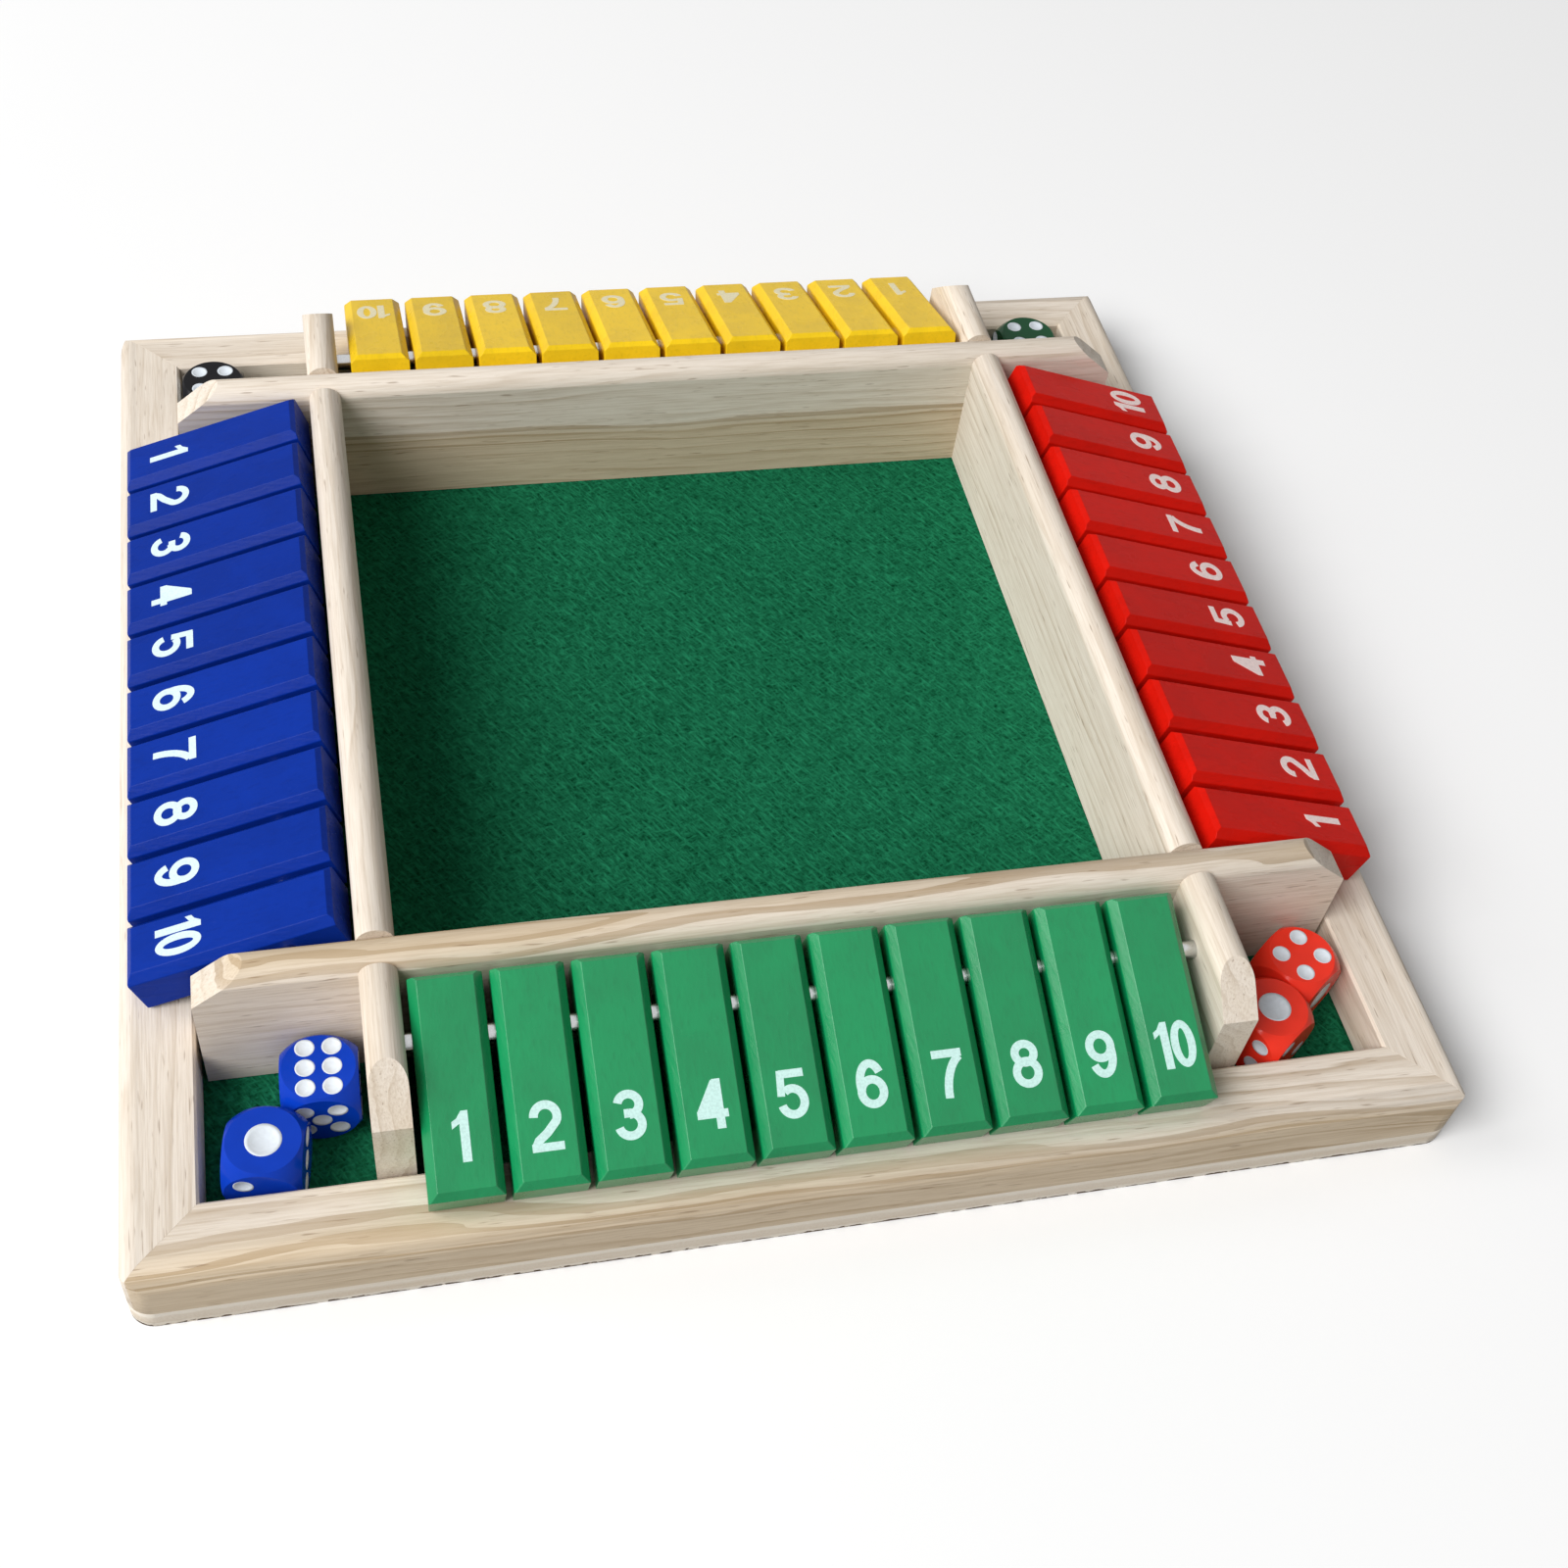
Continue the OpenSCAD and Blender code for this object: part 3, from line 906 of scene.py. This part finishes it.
class SHUTBOX_OT_tiles(bpy.types.Operator):
    """Paint the forty tiles"""

    bl_idname = "shutbox.tiles"
    bl_label = "Tiles"

    # Specular level of each row's paint: the deep pigments dry flatter.
    GLOSS = {"green": 0.5, "red": 0.06, "yellow": 0.12, "blue": 0.06}

    def execute(self, context):
        paint = context.scene.shut_box.paint
        for i, row in enumerate(ROWS):
            colour = tuple(getattr(paint, row))
            material = satin_paint(f"satin_{row}_paint", colour, 90 * i, self.GLOSS[row])
            for n in range(1, TILES_PER_ROW + 1):
                finish_node(f"{row}_tile_{n}", material, paint.rounded_edge)
        return {"FINISHED"}


class SHUTBOX_OT_numerals(bpy.types.Operator):
    """Print a numeral on each tile"""

    bl_idname = "shutbox.numerals"
    bl_label = "Numerals"

    def execute(self, context):
        sizes = context.scene.shut_box.numerals
        inks = {
            row: screen_ink(f"ink_on_{row}", tuple(getattr(sizes, f"ink_{row}"))) for row in ROWS
        }
        for n in range(1, TILES_PER_ROW + 1):
            printed = numeral_mesh(str(n), sizes)
            for row in ROWS:
                tile = f"{row}_tile_{n}"
                place, face_height = tile_frame(tile)
                mesh = printed.copy()
                mesh.transform(place @ Matrix.Translation((0, -sizes.baseline, face_height)))
                add_piece(f"{row}_numeral_{n}", mesh, inks[row], tile)
            bpy.data.meshes.remove(printed)
        return {"FINISHED"}


class SHUTBOX_OT_rods(bpy.types.Operator):
    """Finish the wire rods"""

    bl_idname = "shutbox.rods"
    bl_label = "Rods"

    def execute(self, context):
        finish_node("rods", drawn_wire())
        return {"FINISHED"}


class SHUTBOX_OT_dice(bpy.types.Operator):
    """Finish the dice and fill their pips with enamel"""

    bl_idname = "shutbox.dice"
    bl_label = "Dice"

    ENAMEL_FILM = 0.03 * MM

    def execute(self, context):
        colours = context.scene.shut_box.dice
        enamel = pip_enamel(tuple(colours.enamel))
        acrylic = {}
        for die in DICE:
            colour = die.split("_")[0]
            if colour not in acrylic:
                acrylic[colour] = moulded_acrylic(
                    f"moulded_{colour}_acrylic", tuple(getattr(colours, colour))
                )
            finish_node(die, acrylic[colour])
            shape = bmesh.new()
            for centre, out, radius, depth in dimples(frame["nodes"][die].data):
                enamel_cap(shape, centre, out, radius, depth, film=self.ENAMEL_FILM)
            bmesh.ops.recalc_face_normals(shape, faces=shape.faces)
            mesh = bpy.data.meshes.new(f"{die}_pips")
            shape.to_mesh(mesh)
            shape.free()
            mesh.shade_smooth()
            add_piece(f"{die}_pips", mesh, enamel, die)
        return {"FINISHED"}


class SHUTBOX_OT_stage(bpy.types.Operator):
    """Set the floor, the light and the camera"""

    bl_idname = "shutbox.stage"
    bl_label = "Stage"

    CAMERA_PLACE = (-0.08722, -0.32372, 0.38321)
    CAMERA_TURN = (0.6859, -0.1004, -0.2029)
    # Each light's setting, place and size, metres. The window lights the board, and the small
    # far pane glints on the rounded edges that face it.
    LIGHTS = (
        ("window", (-2.52, -1.39, 2.78), (2.6, 2.3)),
        ("pane", (-2.77, 0.80, 1.99), (1.5, 1.8)),
    )
    SENSOR_WIDTH = 36
    FLOOR_REACH = 3.0

    def execute(self, context):
        stage = context.scene.shut_box.stage
        scene = context.scene
        scene.view_settings.view_transform = "Standard"

        camera = bpy.data.objects.new("camera", bpy.data.cameras.new("camera"))
        camera.location = self.CAMERA_PLACE
        camera.rotation_euler = self.CAMERA_TURN
        camera.data.lens = stage.lens
        camera.data.sensor_width = self.SENSOR_WIDTH
        scene.collection.objects.link(camera)
        scene.camera = camera

        for name, place, size in self.LIGHTS:
            light = bpy.data.lights.new(name, "AREA")
            light.energy = getattr(stage, name)
            light.shape = "RECTANGLE"
            light.size, light.size_y = size
            lamp = bpy.data.objects.new(name, light)
            lamp.location = place
            lamp.rotation_euler = Vector(place).to_track_quat("Z", "Y").to_euler()
            scene.collection.objects.link(lamp)

        reach = self.FLOOR_REACH
        mesh = bpy.data.meshes.new("floor")
        corners = [(-reach, -reach, 0), (reach, -reach, 0), (reach, reach, 0), (-reach, reach, 0)]
        mesh.from_pydata(corners, [], [(0, 1, 2, 3)])
        floor = bpy.data.objects.new("floor", mesh)
        material, tree, shader = new_material("pale_floor", roughness=0.9, Specular_IOR_Level=0.0)
        seen = add_node(tree, "LightPath").outputs["Is Camera Ray"]
        white_seen = add_node(tree, "Mix", {
            MIX_FACTOR: seen, MIX_BELOW: stage.floor, MIX_ABOVE: (1, 1, 1),
        }, data_type="RGBA")
        tree.links.new(white_seen.outputs[MIX_RESULT], shader.inputs["Base Color"])
        mesh.materials.append(material)
        scene.collection.objects.link(floor)

        world = bpy.data.worlds.new("studio")
        world.use_nodes = True
        scene.world = world
        tree = world.node_tree
        tree.nodes.clear()
        ray = add_node(tree, "LightPath").outputs
        seen = ray["Is Camera Ray"]
        for kind in ("Is Glossy Ray", "Is Transmission Ray"):
            seen = add_node(tree, "Math", {0: seen, 1: ray[kind]}, operation="MAXIMUM")
        dim = add_node(tree, "Background", {"Color": (1, 1, 1), "Strength": stage.sky})
        white = add_node(tree, "Background", {"Color": (1, 1, 1), "Strength": 1.0})
        shown = add_node(tree, "MixShader", {0: seen, 1: dim, 2: white})
        add_node(tree, "OutputWorld", {"Surface": shown})
        return {"FINISHED"}


class SHUTBOX_PT_board(bpy.types.Panel):
    """Lists the board's pieces in the sidebar"""

    bl_idname = "SHUTBOX_PT_board"
    bl_label = "Shut the Box"
    bl_space_type = "VIEW_3D"
    bl_region_type = "UI"
    bl_category = "Shut the Box"

    def draw(self, context):
        settings = context.scene.shut_box
        groups = (
            ("pine", ("shutbox.base", "shutbox.frame")), ("felt", ()),
            ("paint", ("shutbox.tiles",)), ("numerals", ("shutbox.numerals",)),
            ("dice", ("shutbox.dice", "shutbox.rods")), ("stage", ("shutbox.stage",)),
        )
        for group, operators in groups:
            box = self.layout.box()
            values = getattr(settings, group)
            for key in values.bl_rna.properties.keys():
                if key not in ("rna_type", "name"):
                    box.prop(values, key)
            for operator in operators:
                box.operator(operator)


OPERATORS = (
    SHUTBOX_OT_stage, SHUTBOX_OT_base, SHUTBOX_OT_frame, SHUTBOX_OT_rods, SHUTBOX_OT_tiles,
    SHUTBOX_OT_numerals, SHUTBOX_OT_dice,
)
CLASSES = (
    PineFinish, PaintFinish, NumeralSizes, FeltFinish, DiceFinish, StageSettings, ShutBoxSettings,
    *OPERATORS, SHUTBOX_PT_board,
)


def register():
    for cls in CLASSES:
        bpy.utils.register_class(cls)
    bpy.types.Scene.shut_box = PointerProperty(type=ShutBoxSettings)


def unregister():
    del bpy.types.Scene.shut_box
    for cls in reversed(CLASSES):
        bpy.utils.unregister_class(cls)


def main():
    register()
    for operator in OPERATORS:
        group, name = operator.bl_idname.split(".")
        getattr(getattr(bpy.ops, group), name)()


if __name__ == "__main__":
    main()
